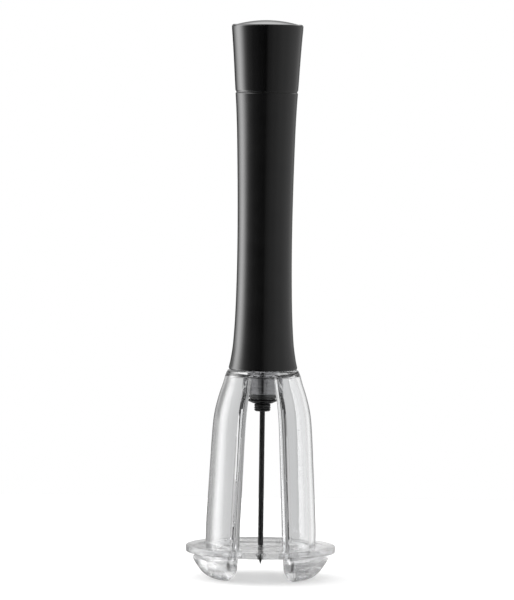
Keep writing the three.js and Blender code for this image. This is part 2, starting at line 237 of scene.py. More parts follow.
def object_noise(tree, scale, detail=3.0, stretch=(1, 1, 1)):
    """A noise value over the piece's own coordinates; scale is in waves per metre."""
    coordinates = tree.nodes.new("ShaderNodeTexCoord")
    mapping = tree.nodes.new("ShaderNodeMapping")
    mapping.inputs["Scale"].default_value = stretch
    noise = tree.nodes.new("ShaderNodeTexNoise")
    noise.inputs["Scale"].default_value = scale
    noise.inputs["Detail"].default_value = detail
    tree.links.new(coordinates.outputs["Object"], mapping.inputs["Vector"])
    tree.links.new(mapping.outputs["Vector"], noise.inputs["Vector"])
    return noise.outputs["Fac"]


def vary_roughness(tree, shader, value, least, most):
    """Roughness that follows a noise value between the two limits."""
    spread = tree.nodes.new("ShaderNodeMapRange")
    spread.inputs["From Min"].default_value = 0.3
    spread.inputs["From Max"].default_value = 0.7
    spread.inputs["To Min"].default_value = least
    spread.inputs["To Max"].default_value = most
    tree.links.new(value, spread.inputs["Value"])
    tree.links.new(spread.outputs["Result"], shader.inputs["Roughness"])


def vary_colour(tree, shader, value, dark, light):
    """Base colour that follows a noise value from dark to light."""
    ramp = tree.nodes.new("ShaderNodeValToRGB")
    ramp.color_ramp.elements[0].position = 0.3
    ramp.color_ramp.elements[0].color = (*dark, 1)
    ramp.color_ramp.elements[1].position = 0.7
    ramp.color_ramp.elements[1].color = (*light, 1)
    tree.links.new(value, ramp.inputs["Fac"])
    tree.links.new(ramp.outputs["Color"], shader.inputs["Base Color"])


def add_bump(tree, shader, value, height, before=None):
    """A bump, its depth in metres; with before, it lies on top of that one."""
    bump = tree.nodes.new("ShaderNodeBump")
    bump.inputs["Strength"].default_value = 1.0
    bump.inputs["Distance"].default_value = height
    tree.links.new(value, bump.inputs["Height"])
    if before:
        tree.links.new(before.outputs["Normal"], bump.inputs["Normal"])
    tree.links.new(bump.outputs["Normal"], shader.inputs["Normal"])
    return bump


def blend_shaders(tree, share, first, second):
    """Shows the first shader with the given share of the second; the share is a number or a socket."""
    blend = tree.nodes.new("ShaderNodeMixShader")
    if isinstance(share, float):
        blend.inputs[0].default_value = share
    else:
        tree.links.new(share, blend.inputs[0])
    tree.links.new(first.outputs[0], blend.inputs[1])
    tree.links.new(second.outputs[0], blend.inputs[2])
    tree.links.new(blend.outputs[0], tree.nodes["Material Output"].inputs["Surface"])
    return blend


def clear_plastic(name, straight_share=0.0):
    """Polished clear moulding: slow flow ripples, faint haze and a few finer marks.

    The straight share of the light goes through unbent, which keeps thick solid pieces pale.
    """
    material, tree, shader = start_material(name)
    shader.inputs["Transmission Weight"].default_value = 1.0
    shader.inputs["IOR"].default_value = 1.5
    ripples = object_noise(tree, 90, 1.0, (1, 1, 0.35))
    vary_roughness(tree, shader, object_noise(tree, 260), 0.012, 0.05)
    vary_colour(tree, shader, ripples, (0.955, 0.96, 0.965), (0.99, 0.992, 0.995))
    flow = add_bump(tree, shader, ripples, 0.00006)
    add_bump(tree, shader, object_noise(tree, 900, 2.0), 0.0000015, flow)
    if straight_share:
        straight = tree.nodes.new("ShaderNodeBsdfTransparent")
        blend_shaders(tree, straight_share, shader, straight)
    return material


def satin_black():
    """Soft-touch black with a very fine grain."""
    material, tree, shader = start_material("satin_black")
    cloud = object_noise(tree, 140)
    vary_colour(tree, shader, cloud, (0.0022, 0.0022, 0.0023), (0.0034, 0.0034, 0.0035))
    vary_roughness(tree, shader, cloud, 0.17, 0.22)
    grain = add_bump(tree, shader, object_noise(tree, 5200, 2.0), 0.000004)
    add_bump(tree, shader, object_noise(tree, 420, 2.0), 0.000006, grain)
    return material


def gloss_black():
    """Polished black moulding with the slight orange peel of its mould."""
    material, tree, shader = start_material("gloss_black")
    cloud = object_noise(tree, 120)
    vary_colour(tree, shader, cloud, (0.0014, 0.0014, 0.0015), (0.0024, 0.0024, 0.0025))
    vary_roughness(tree, shader, cloud, 0.05, 0.09)
    add_bump(tree, shader, object_noise(tree, 380, 2.0), 0.000005)
    return material


def inner_black():
    """Plain moulded black of the inner pieces, with fine spark texture."""
    material, tree, shader = start_material("inner_black")
    cloud = object_noise(tree, 700)
    vary_colour(tree, shader, cloud, (0.003, 0.003, 0.003), (0.007, 0.007, 0.007))
    vary_roughness(tree, shader, cloud, 0.25, 0.38)
    add_bump(tree, shader, object_noise(tree, 4200, 3.0), 0.000015)
    return material


def needle_coating():
    """Black non-stick coating over steel, drawn out along the needle."""
    material, tree, shader = start_material("needle_coating")
    streaks = object_noise(tree, 1600, 3.0, (1, 1, 0.08))
    vary_colour(tree, shader, streaks, (0.003, 0.003, 0.003), (0.009, 0.009, 0.0095))
    vary_roughness(tree, shader, streaks, 0.28, 0.42)
    add_bump(tree, shader, streaks, 0.00001)
    return material


def seal_rubber():
    """Dull black rubber."""
    material, tree, shader = start_material("seal_rubber")
    cloud = object_noise(tree, 1300, 4.0)
    vary_colour(tree, shader, cloud, (0.012, 0.012, 0.012), (0.03, 0.03, 0.03))
    vary_roughness(tree, shader, cloud, 0.6, 0.85)
    add_bump(tree, shader, cloud, 0.00003)
    return material


def steel():
    """Ground steel with turning marks."""
    material, tree, shader = start_material("steel")
    shader.inputs["Metallic"].default_value = 1.0
    marks = object_noise(tree, 2600, 3.0, (0.2, 0.2, 1.6))
    vary_colour(tree, shader, marks, (0.42, 0.43, 0.45), (0.62, 0.63, 0.65))
    vary_roughness(tree, shader, marks, 0.16, 0.34)
    add_bump(tree, shader, marks, 0.000006)
    return material


def core_steel_painted_dark():
    """Smoother turned steel, its colour painted darker than the other steel as painted shade for the core
    seen through the clear boss.
    """
    material, tree, shader = start_material("core_steel_painted_dark")
    shader.inputs["Metallic"].default_value = 1.0
    marks = object_noise(tree, 900, 2.0, (0.3, 0.3, 1.4))
    # The darker colour range is painted shade, not a tone of the steel itself
    vary_colour(tree, shader, marks, (0.3, 0.3, 0.31), (0.42, 0.42, 0.43))
    vary_roughness(tree, shader, marks, 0.08, 0.14)
    add_bump(tree, shader, marks, 0.000002)
    return material


def can_aluminium():
    """Drawn aluminium, with faint streaks up its side."""
    material, tree, shader = start_material("can_aluminium")
    shader.inputs["Metallic"].default_value = 1.0
    draw = object_noise(tree, 1200, 4.0, (1, 1, 0.04))
    vary_colour(tree, shader, draw, (0.6, 0.61, 0.63), (0.78, 0.79, 0.8))
    vary_roughness(tree, shader, draw, 0.24, 0.38)
    add_bump(tree, shader, draw, 0.000006)
    return material


def valve_plastic():
    """Off-white moulding that lets a little light in."""
    material, tree, shader = start_material("valve_plastic")
    cloud = object_noise(tree, 500)
    shader.inputs["Subsurface Weight"].default_value = 0.15
    shader.inputs["Subsurface Radius"].default_value = (0.001, 0.001, 0.0008)
    vary_colour(tree, shader, cloud, (0.68, 0.68, 0.65), (0.76, 0.76, 0.73))
    vary_roughness(tree, shader, cloud, 0.38, 0.5)
    add_bump(tree, shader, object_noise(tree, 3000), 0.000008)
    return material


MATERIALS = {
    "clear_plastic": clear_plastic("clear_plastic"),
    "satin_black": satin_black(),
    "gloss_black": gloss_black(),
    "inner_black": inner_black(),
    "needle_coating": needle_coating(),
    "seal_rubber": seal_rubber(),
    "steel": steel(),
    "can_aluminium": can_aluminium(),
    "valve_plastic": valve_plastic(),
}
CLEAR_SOLID = clear_plastic("clear_solid", 0.2)  # for the thick lobes and the disc


# ---------------------------------------------------------------- turned pieces

def respun(node, body, slot, corner=0.15, sides=SMALL_ROUND):
    """A fine copy of a turned CAD node, with its corners eased."""
    outline, centre = section(node)
    eased = rounded(outline, corner)
    return new_piece(
        f"{node}_fine", lambda bm: turn_outline(bm, eased, sides, centre), body, slot, (node,))


def handle_barrel():
    """The waisted barrel, with its socket for the guide and its bore for the cartridge."""
    bottom, top = low("handle_barrel"), high("handle_barrel")
    outside = spline([
        (15.62, bottom + 0.9), (14.73, 100.4), (13.68, 108.6), (12.84, 124.6), (12.45, 148.0),
        (12.6, 172.4), (13.19, 199.7), (13.72, 213.3), (14.19, top - 0.3)], 10)
    bore, socket, socket_top, rim = 10.95, 12.5, 108.5, 211.7
    outline = [(socket, bottom), (15.1, bottom), (15.45, bottom + 0.25), *outside,
               (13.95, top), (socket, top), (socket, rim), (bore, rim), (bore, socket_top),
               (socket, socket_top)]
    return new_piece(
        "handle_barrel_shell", lambda bm: turn_outline(bm, rounded(outline, 0.14), ROUND),
        "handle", "satin_black", ("handle_barrel",))


def guide_sleeve():
    """The sleeve that the cap slides on; its collar fills the seam between barrel and cap."""
    bottom, top, inner, outer = low("guide_sleeve"), high("guide_sleeve"), 11.2, 12.2
    collar, collar_bottom, collar_top = 13.9, 221.25, 222.6
    outline = [(inner, bottom), (outer, bottom), (outer, collar_bottom), (collar, collar_bottom),
               (collar, collar_top), (outer, collar_top), (outer, top), (inner, top)]
    return new_piece(
        "guide_sleeve_ring", lambda bm: turn_outline(bm, rounded(outline, 0.12), ROUND),
        "handle", "inner_black", ("guide_sleeve",))


def press_cap():
    """The flared cap, with a step over the sleeve's collar and a recess for the dome."""
    bottom, rim = low("press_cap"), high("press_cap")
    rim_radius, edge, edge_steps = 16.24, 1.0, 8
    outside = spline([
        (14.27, bottom + 0.4), (14.59, 226.9), (15.14, 236.0), (15.78, 245.0), (16.15, 249.4),
        (rim_radius, rim - 1.1)], 8)
    corner = [(rim_radius - edge + edge * math.cos(t), rim - edge + edge * math.sin(t))
              for t in (k / edge_steps * math.pi / 2 for k in range(1, edge_steps + 1))]
    bore, ceiling, recess, floor = 12.5, 246.0, 14.7, 249.1
    step, step_top = 13.98, 223.5
    outline = [(0, ceiling), (bore, ceiling), (bore, step_top), (step, step_top), (step, bottom),
               (14.1, bottom), *outside, *corner, (recess + 0.1, rim), (recess, rim - 0.1),
               (recess, floor), (0, floor)]
    return new_piece(
        "press_cap_shell", lambda bm: turn_outline(bm, rounded(outline, 0.18), ROUND),
        "press_cap", "gloss_black", ("press_cap",))


def cap_dome():
    """The low dome, a parabola that starts just below the cap's rim."""
    bottom, top, radius = low("cap_dome"), high("cap_dome"), high("cap_dome", 0)
    edge, steps = 252.1, 28
    crown = [(radius * t, top - (top - edge) * t ** 2) for t in (1 - k / steps for k in range(steps))]
    outline = [(0, bottom), (radius, bottom), *crown, (0, top)]
    return new_piece(
        "cap_dome_disc", lambda bm: turn_outline(bm, rounded(outline, 0.3), ROUND),
        "press_cap", "gloss_black", ("cap_dome",))


# ---------------------------------------------------------------- bottle guide

BELL = [(25.1, 19.0), (24.92, 26.3), (24.2, 40.0), (23.47, 53.8), (22.69, 67.5), (21.78, 75.7),
        (20.0, 83.1), (18.22, 88.5), (17.2, 92.2), (16.5, 94.0), (16.1, 95.0)]
LEG_WALL, LIP, LIP_WIDTH, LIP_SLOPE = 2.7, 1.7, 2.4, 1.0
TONGUE_TOP, TONGUE_ANGLE = 12.0, 34.5
SLOT_TOP_ANGLE, SLOT_BOTTOM_ANGLE = 23.0, 28.5
DECK_UNDER, DECK_TOP, DECK_FILLET = 92.8, 95.0, 1.6


def bell_radius(curve, height):
    """The bell's outer radius at a height."""
    if height <= curve[0][1]:
        return curve[0][0]
    for (r0, z0), (r1, z1) in zip(curve, curve[1:]):
        if height <= z1:
            return r0 + (r1 - r0) * (height - z0) / (z1 - z0)
    return curve[-1][0]


def ease(t):
    """A smooth step from 0 to 1."""
    t = min(max(t, 0.0), 1.0)
    return t * t * (3 - 2 * t)


def slot_angle(height):
    """Half the slot's angle at a height: wider towards the bottom, and wider again for the tongues."""
    if height < TONGUE_TOP:
        return math.radians(TONGUE_ANGLE)
    share = (height - low("bottle_guide")) / (DECK_UNDER - low("bottle_guide"))
    low_width = math.tan(math.radians(SLOT_BOTTOM_ANGLE))
    high_width = math.tan(math.radians(SLOT_TOP_ANGLE))
    return math.atan(low_width + (high_width - low_width) * share)


def build_guide(bm):
    """The clear guide as one grid of rows up its outline and columns round it, open at the two slots.

    Columns bunch at the slots' edges, which move with height; inside, the wall steps in to a lip there.
    """
    curve = spline(BELL, 8)
    bottom, bell_foot = low("bottle_guide"), BELL[0][1]
    leg_columns, slot_columns, bunching = 56, 14, 0.045
    leg_rows, fillet_rows = 44, 6
    fillet_foot = DECK_UNDER - DECK_FILLET
    heights = [bottom, 8.5, TONGUE_TOP - 0.02, TONGUE_TOP, 15, bell_foot]
    heights += [bell_foot + (fillet_foot - bell_foot) * k / leg_rows for k in range(1, leg_rows + 1)]
    heights += [fillet_foot + DECK_FILLET * math.sin(k / fillet_rows * math.pi / 2)
                for k in range(1, fillet_rows + 1)]
    top_row = len(heights) - 1
    span = leg_columns + slot_columns
    column_count = 2 * span

    def angles(height):
        edge = slot_angle(min(height, DECK_UNDER))
        result = []
        for side in (0, 1):
            start = -math.pi / 2 + side * math.pi
            for k in range(slot_columns):
                result.append(start - edge + 2 * edge * k / slot_columns)
            for k in range(leg_columns):
                t = k / leg_columns
                bunched = t - bunching * math.sin(4 * math.pi * t)
                result.append(start + edge + (math.pi - 2 * edge) * bunched)
        return result

    def is_slot(i):
        return i % span < slot_columns

    def inner_radius(here, height, index, outer):
        if is_slot(index):
            return outer - LEG_WALL - LIP
        start = here[(index // span) * span + slot_columns]
        end = here[((index // span) * span + span) % column_count]
        if end < start:
            end += 2 * math.pi
        from_edge = min(here[index] - start, end - here[index]) * outer
        share = 1 - ease((from_edge - LIP_WIDTH + LIP_SLOPE / 2) / LIP_SLOPE)
        lip = LIP * share if height >= TONGUE_TOP else 0
        return outer - LEG_WALL - lip

    def row(radius_at, height):
        places = [(radius_at(i), a) for i, a in enumerate(angles(height))]
        return [bm.verts.new((r * math.cos(a) * MM, r * math.sin(a) * MM, height * MM)) for r, a in places]

    deck_outer = 11.6
    outer_rows, inner_rows = [], []
    for height in heights:
        outer = bell_radius(curve, height)
        here = angles(height)
        outer_rows.append(row(lambda i: outer, height))

        def inside(i):
            wall = inner_radius(here, height, i, outer)
            into_fillet = (height - fillet_foot) / DECK_FILLET
            if into_fillet <= 0:
                return wall
            arc = 1 - math.sqrt(max(0.0, 1 - into_fillet ** 2))
            return wall - DECK_FILLET * arc if height < DECK_UNDER else deck_outer

        inner_rows.append(row(inside, height))

    # Shoulder, spigot and bore, then the boss and the deck's underside, all full turns
    shoulder = [(bell_radius(curve, h), h) for h in (93.3, 93.8, 94.2, 94.6)]
    spigot_in, spigot_out, spigot_top = 10.4, 12.2, high("bottle_guide")
    bore, recess, recess_top, boss, boss_bottom = 4.65, 6.6, 84.6, 7.7, 82.0
    ring_outline = [
        *shoulder, (15.95, 94.9), (15.7, DECK_TOP), (spigot_out + 0.3, DECK_TOP),
        (spigot_out, DECK_TOP + 0.3), (spigot_out, spigot_top - 0.4), (spigot_out - 0.4, spigot_top),
        (spigot_in + 0.2, spigot_top), (spigot_in, spigot_top - 0.2), (spigot_in, DECK_TOP + 0.3),
        (spigot_in - 0.3, DECK_TOP), (bore + 0.3, DECK_TOP), (bore, DECK_TOP - 0.3),
        (bore, recess_top + 0.1), (bore + 0.1, recess_top),
        (recess - 0.2, recess_top), (recess, recess_top - 0.2), (recess, boss_bottom + 0.25),
        (recess + 0.15, boss_bottom + 0.05), (recess + 0.35, boss_bottom), (boss - 0.35, boss_bottom),
        (boss - 0.1, boss_bottom + 0.1), (boss, boss_bottom + 0.35), (boss + 0.45, DECK_UNDER - 1.6),
        (boss + 0.8, DECK_UNDER - 0.5), (boss + 1.6, DECK_UNDER)]
    ring_rows = [row(lambda i, r=r: r, z) for r, z in ring_outline]

    def quads(a, b, columns):
        for i in columns:
            n = (i + 1) % column_count
            bm.faces.new((a[i], a[n], b[n], b[i]))

    everywhere = range(column_count)
    leg = [i for i in everywhere if not is_slot(i)]
    slot = [i for i in everywhere if is_slot(i)]
    for k in range(top_row):
        quads(outer_rows[k], outer_rows[k + 1], leg)
        quads(inner_rows[k + 1], inner_rows[k], leg)
    quads(inner_rows[0], outer_rows[0], leg)
    quads(outer_rows[top_row], inner_rows[top_row], slot)
    chain = [outer_rows[top_row], *ring_rows, inner_rows[top_row]]
    for a, b in zip(chain, chain[1:]):
        quads(a, b, everywhere)
    # The slots' side faces
    for side in (0, 1):
        for edge in (side * span + slot_columns, (side * span + span) % column_count):
            for k in range(top_row):
                bm.faces.new((outer_rows[k][edge], outer_rows[k + 1][edge],
                              inner_rows[k + 1][edge], inner_rows[k][edge]))


def bottle_guide():
    """The clear guide with its edges eased."""
    piece = new_piece(
        "bottle_guide_clear", build_guide, "guide", "clear_plastic", ("bottle_guide",), smooth_angle=40)
    ease_edges(piece, 0.35)
    return piece


# ---------------------------------------------------------------- jaws, disc and wheels

def cut(piece, cutter, operation="DIFFERENCE"):
    """Cuts a loose piece with another one, which is used up."""
    modifier = piece.modifiers.new("cut", "BOOLEAN")
    modifier.operation = operation
    modifier.solver = "EXACT"
    modifier.object = cutter
    bpy.context.view_layer.update()
    shape = bpy.data.meshes.new_from_object(piece.evaluated_get(bpy.context.evaluated_depsgraph_get()))
    piece.modifiers.clear()
    piece.data = shape
    bpy.data.objects.remove(cutter)


def prism(bm, outline, low_y, high_y):
    """An outline in X and Z, in millimetres, carried from one Y to another."""
    front = [bm.verts.new((x * MM, low_y * MM, z * MM)) for x, z in outline]
    back = [bm.verts.new((x * MM, high_y * MM, z * MM)) for x, z in outline]
    count = len(outline)
    for i in range(count):
        n = (i + 1) % count
        bm.faces.new((front[i], front[n], back[n], back[i]))
    bm.faces.new(front)
    bm.faces.new(back[::-1])


def jaw(side, sign):
    """A foil-cutter jaw: a lobe turned round the guide's axis and cut to one side.

    It has pockets for its wheels. The sign is 1 for the right jaw and -1 for the left one.
    """
    top, widest, outer, flat, inner = 11.7, 9.0, 30.9, 20.5, 16.3
    steps, power = 20, 2.2
    belly = [(flat + (outer - flat) * k / steps, widest * (k / steps) ** power) for k in range(steps + 1)]
    shoulder = spline([(outer, widest), (outer - 0.6, widest + 0.8), (outer - 2.2, widest + 1.5),
                       (outer - 3.4, top)], 5)[1:-1]
    outline = rounded([
        (inner, 0), *belly, *shoulder, (outer - 3.6, top), (inner + 0.6, top), (inner, top - 0.6)], 0.8)
    piece = loose_piece(f"foil_cutter_jaw_{side}_clear", lambda bm: turn_outline(bm, outline, ROUND))

    slit, across, up, arc_steps, reach = 10.3, 6.5, 9.0, 14, 40
    arc = [(slit + across * (1 - math.cos(t)), up * (1 - math.sin(t)))
           for t in (k / arc_steps * math.pi / 2 for k in range(arc_steps + 1))]
    kept = [(slit, top + 1), *arc, (outer + 1, 0), (outer + 1, -1), (outer + 2, -1), (outer + 2, top + 1)]
    kept = [(sign * x, z) for x, z in kept]
    cut(piece, loose_piece("keep", lambda bm: prism(bm, kept, -reach, reach)), "INTERSECT")

    def socket(bm):
        """The curved slot that the leg's tongue sits in."""
        inside, outside, nearest, floor_height = 22.1, 25.4, 12.9, 6.2
        edge = math.acos(nearest / outside)
        count = 40
        rows = []
        for radius in (inside, outside):
            for height in (floor_height, top + 1):
                rows.append([bm.verts.new((
                    sign * radius * math.cos(a) * MM, radius * math.sin(a) * MM, height * MM))
                    for a in (-edge + 2 * edge * k / count for k in range(count + 1))])
        ring = [rows[0], rows[2], rows[3], rows[1]]
        for a, b in zip(ring, ring[1:] + ring[:1]):
            for k in range(count):
                bm.faces.new((a[k], a[k + 1], b[k + 1], b[k]))
        for k in (0, count):
            bm.faces.new([r[k] for r in ring])

    cut(piece, loose_piece("socket", socket))
    play, headroom, pin_hole = 0.4, 0.5, 1.1
    for index in (1, 2):
        wheel = f"cutter_wheel_{side}_{index}"
        lo, hi = BOXES[wheel]
        centre = ((lo.x + hi.x) / 2 / MM, (lo.y + hi.y) / 2 / MM)
        radius = (hi.x - lo.x) / 2 / MM + play
        under, over = low(wheel) - headroom, high(wheel) + headroom
        pocket = [(0, under), (radius, under), (radius, over), (0, over)]
        cut(piece, loose_piece("pocket", lambda bm: turn_outline(bm, pocket, 72, centre)))
        hole_top = high(f"wheel_pin_{side}_{index}") + 0.2
        hole = [(0, -1), (pin_hole, -1), (pin_hole, hole_top), (0, hole_top)]
        cut(piece, loose_piece("hole", lambda bm: turn_outline(bm, hole, 32, centre)))
    shade(piece, 30)
    ease_edges(piece, 0.5)
    settle(piece, "guide", "clear_plastic", (f"foil_cutter_jaw_{side}",))
    piece.data.materials[0] = CLEAR_SOLID
    return piece


def ejector_disc():
    """The disc as a flat outline with its leg slots and needle hole, thickened with round edges."""
    bottom, top = low("ejector_disc"), high("ejector_disc")
    easing = 0.35
    radius, slot_in, slot_out, hole = high("ejector_disc", 0), 17.0, 25.5, 1.6
    half = math.radians(68)

    def circle(r, count):
        return [(r * math.cos(a), r * math.sin(a)) for a in (2 * math.pi * k / count for k in range(count))]

    def leg_slot(sign):
        count = 40
        arc = [-half + 2 * half * k / count for k in range(count + 1)]
        far, near = slot_out - easing, slot_in + easing
        outside = [(sign * far * math.cos(a), far * math.sin(a)) for a in arc]
        inside = [(sign * near * math.cos(a), near * math.sin(a)) for a in arc]
        return outside + inside[::-1]

    curve = bpy.data.curves.new("ejector_disc_outline", "CURVE")
    curve.dimensions = "2D"
    curve.fill_mode = "BOTH"
    curve.extrude = ((top - bottom) / 2 - easing) * MM
    curve.bevel_depth = easing * MM
    curve.bevel_resolution = 3
    for outline in (circle(radius - easing, ROUND), circle(hole + easing, 48), leg_slot(1), leg_slot(-1)):
        loop = curve.splines.new("POLY")
        loop.points.add(len(outline) - 1)
        for point, (x, y) in zip(loop.points, outline):
            point.co = (x * MM, y * MM, 0, 1)
        loop.use_cyclic_u = True
    flat = bpy.data.objects.new("ejector_disc_flat", curve)
    bpy.context.scene.collection.objects.link(flat)
    bpy.context.view_layer.update()
    mesh = bpy.data.meshes.new_from_object(flat.evaluated_get(bpy.context.evaluated_depsgraph_get()))
    bpy.data.objects.remove(flat)
    mesh.transform(Matrix.Translation((0, 0, (bottom + top) / 2 * MM)))
    bm = bmesh.new()
    bm.from_mesh(mesh)
    bmesh.ops.remove_doubles(bm, verts=bm.verts, dist=1e-6)
    bmesh.ops.recalc_face_normals(bm, faces=bm.faces)
    bm.to_mesh(mesh)
    bm.free()
    piece = bpy.data.objects.new("ejector_disc_clear", mesh)
    bpy.context.scene.collection.objects.link(piece)
    shade(piece, 30)
    settle(piece, "ejector", "clear_plastic", ("ejector_disc",))
    piece.data.materials[0] = CLEAR_SOLID
    return piece


# ---------------------------------------------------------------- needle and hub

def needle():
    """The hollow needle: a slightly crowned point, a bore from above and a side port that meets it."""
    tip, top = low("needle"), high("needle")
    radius, bore, bore_floor, taper, steps = 1.2, 0.5, 10.0, 3.5, 10
    port_radius, port_reach, port_height = 0.35, 3, 11.5
    point = [(radius * k / steps, tip + taper * (k / steps) ** 1.1) for k in range(steps + 1)]
    outline = [*point, (radius, top - 0.3), (radius - 0.3, top), (bore, top), (bore, bore_floor),
               (0, bore_floor)]
    piece = loose_piece("needle_coated", lambda bm: turn_outline(bm, outline, SMALL_ROUND))

    def port(bm):
        rod = [(0, -port_reach), (port_radius, -port_reach), (port_radius, port_reach), (0, port_reach)]
        turn_outline(bm, rod, 24)
        bmesh.ops.rotate(bm, verts=bm.verts, matrix=Matrix.Rotation(math.pi / 2, 3, "X"))
        bmesh.ops.translate(bm, verts=bm.verts, vec=(0, 0, port_height * MM))

    cut(piece, loose_piece("port", port))
    shade(piece, 35)
    settle(piece, "guide", "needle_coating", ("needle",))
    return piece


def needle_nut():
    """The collar nut, with two grooves round it."""
    bottom, top, radius = low("needle_nut"), high("needle_nut"), high("needle_nut", 0)
    bore = 1.5
    band, groove = radius - 0.05, radius - 0.3
    outline = [(bore, bottom), (radius - 0.75, bottom), (radius - 0.1, bottom + 0.4), (band, bottom + 0.9),
               (groove, bottom + 1.0), (groove, bottom + 1.2), (radius, bottom + 1.3),
               (radius, bottom + 1.9), (groove, bottom + 2.0), (groove, bottom + 2.2),
               (band, bottom + 2.3), (band, top - 0.3), (radius - 0.4, top), (bore, top)]
    return new_piece(
        "needle_nut_fine", lambda bm: turn_outline(bm, rounded(outline, 0.12, 3), SMALL_ROUND),
        "guide", "inner_black", ("needle_nut",))


def lock_nut():
    """A hexagon nut with its corners turned off at both ends."""
    node = "hub_lock_nut"
    bottom, top, across = low(node), high(node), high(node, 1) - low(node, 1)
    bore, chamfer = 3.25, 0.6
    corner = across / 2 / math.cos(math.pi / 6)

    def build(bm):
        count = 72
        rows = []
        hexagon = [across / 2 / math.cos((2 * math.pi * k / count) % (math.pi / 3) - math.pi / 6)
                   for k in range(count)]
        eased = [min(r, corner - 0.25) for r in hexagon]
        ends = [min(r, corner - chamfer) - 0.1 for r in hexagon]
        inside = [bore] * count
        for radii, height in ((inside, bottom), (ends, bottom), (eased, bottom + 0.35), (eased, top - 0.35),
                              (ends, top), (inside, top)):
            rows.append([bm.verts.new((r * math.cos(2 * math.pi * k / count) * MM,
                                       r * math.sin(2 * math.pi * k / count) * MM, height * MM))
                         for k, r in enumerate(radii)])
        for a, b in zip(rows, rows[1:] + rows[:1]):
            for k in range(count):
                n = (k + 1) % count
                bm.faces.new((a[k], a[n], b[n], b[k]))

    return new_piece("hub_lock_nut_fine", build, "guide", "steel", (node,), smooth_angle=25)


def valve_spring():
    """Round wire wound to the CAD coil."""
    bottom, top = low("valve_spring"), high("valve_spring")
    wire, radius, turns, around, steps = 0.3, 1.75, 4, 12, 40

    def build(bm):
        rings = []
        for i in range(turns * steps + 1):
            angle = 2 * math.pi * i / steps
            height = bottom + wire + (top - bottom - 2 * wire) * i / (turns * steps)
            out = Vector((math.cos(angle), math.sin(angle), 0))
            centre = out * radius + Vector((0, 0, height))
            rings.append([bm.verts.new(
                (centre + out * wire * math.cos(a) + Vector((0, 0, wire * math.sin(a)))) * MM)
                for a in (2 * math.pi * k / around for k in range(around))])
        for a, b in zip(rings, rings[1:]):
            for k in range(around):
                n = (k + 1) % around
                bm.faces.new((a[k], a[n], b[n], b[k]))
        bm.faces.new(rings[0])
        bm.faces.new(rings[-1][::-1])

    piece = new_piece("valve_spring_wire", build, "guide", "steel", ("valve_spring",), smooth_angle=60)
    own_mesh(piece)
    return piece


handle_barrel()
press_cap()
cap_dome()
respun("cap_plunger", "press_cap", "inner_black", 0.3)
guide_sleeve()
bottle_guide()
jaw("right", 1)
jaw("left", -1)
ejector_disc()
for side in ("right", "left"):
    for index in (1, 2):
        respun(f"cutter_wheel_{side}_{index}", f"wheel_{side}_{index}", "steel", 0.05)
        respun(f"wheel_pin_{side}_{index}", "guide", "steel", 0.15, 32)
needle()
needle_nut()
lock_nut()
respun("needle_hub", "guide", "inner_black", 0.15)
hub_core = respun("hub_core", "guide", "steel", 0.2)
# The core gets a darker copy of the steel: painted shade for its look through the clear boss
hub_core.data.materials[0] = core_steel_painted_dark()
respun("hub_seal", "guide", "seal_rubber", 0.7)
respun("stem_o_ring", "guide", "seal_rubber", 0.3)
respun("valve_stem", "guide", "valve_plastic", 0.2)
respun("cartridge_can", "cartridge", "can_aluminium", 0.6, 96)
respun("valve_ferrule", "cartridge", "can_aluminium", 0.3, 96)
respun("valve_gasket", "cartridge", "seal_rubber", 0.3)
respun("valve_housing", "cartridge", "valve_plastic", 0.2)
respun("stem_gasket", "cartridge", "seal_rubber", 0.2)
valve_spring()


# ---------------------------------------------------------------- floor, light and camera

BACKDROP = 0.6  # brightness of what lies straight behind, seen through the clear pieces


def floor():
    """A pale floor, half self-lit to soften its shadow. Mirrored light and light through the clear
    pieces passes it, and meets the world's gradients instead.
    """
    mesh = bpy.data.meshes.new("floor")
    half, below, self_lit = 0.36, 0.0002, 0.5
    corners = [(-half, -half, 0), (half, -half, 0), (half, half, 0), (-half, half, 0)]
    mesh.from_pydata(corners, [], [(0, 1, 2, 3)])
    plane = bpy.data.objects.new("floor", mesh)
    bpy.context.scene.collection.objects.link(plane)
    plane.location.z = -below
    material, tree, shader = start_material("floor_paint")
    shader.inputs["Specular IOR Level"].default_value = 0.0
    shader.inputs["Roughness"].default_value = 1.0
    vary_colour(tree, shader, object_noise(tree, 6), (0.93, 0.93, 0.93), (0.95, 0.95, 0.95))
    lit = blend_shaders(tree, self_lit, shader, tree.nodes.new("ShaderNodeEmission"))
    rays = tree.nodes.new("ShaderNodeLightPath").outputs
    passing = maths(tree, "MAXIMUM", rays["Is Transmission Ray"], rays["Is Glossy Ray"])
    blend_shaders(tree, passing, lit, tree.nodes.new("ShaderNodeBsdfTransparent"))
    plane.data.materials.append(material)


def sky_value(tree, stops, scale, value):
    """A brightness read off a smooth ramp of (place, brightness) stops, divided by the scale."""
    ramp = tree.nodes.new("ShaderNodeValToRGB")
    ramp.color_ramp.interpolation = "EASE"
    elements = ramp.color_ramp.elements
    elements.remove(elements[1])
    for index, (place, brightness) in enumerate(stops):
        element = elements.new(place) if index else elements[0]
        element.position = place
        element.color = (brightness / scale,) * 3 + (1,)
    tree.links.new(value, ramp.inputs["Fac"])
    return ramp.outputs["Color"]


def maths(tree, operation, a, b):
    """One Math node; a and b are numbers or sockets."""
    node = tree.nodes.new("ShaderNodeMath")
    node.operation = operation
    for socket, value in zip(node.inputs, (a, b)):
        if isinstance(value, (int, float)):
            socket.default_value = value
        else:
            tree.links.new(value, socket)
    return node.outputs[0]


def mix(tree, share, a, b):
    """Colour a with the given share of colour b; a and b are greys or sockets."""
    node = tree.nodes.new("ShaderNodeMix")
    node.data_type = "RGBA"
    tree.links.new(share, node.inputs["Factor"])
    for socket, value in ((node.inputs[6], a), (node.inputs[7], b)):
        if isinstance(value, (int, float)):
            socket.default_value = (value, value, value, 1)
        else:
            tree.links.new(value, socket)
    return node.outputs[2]


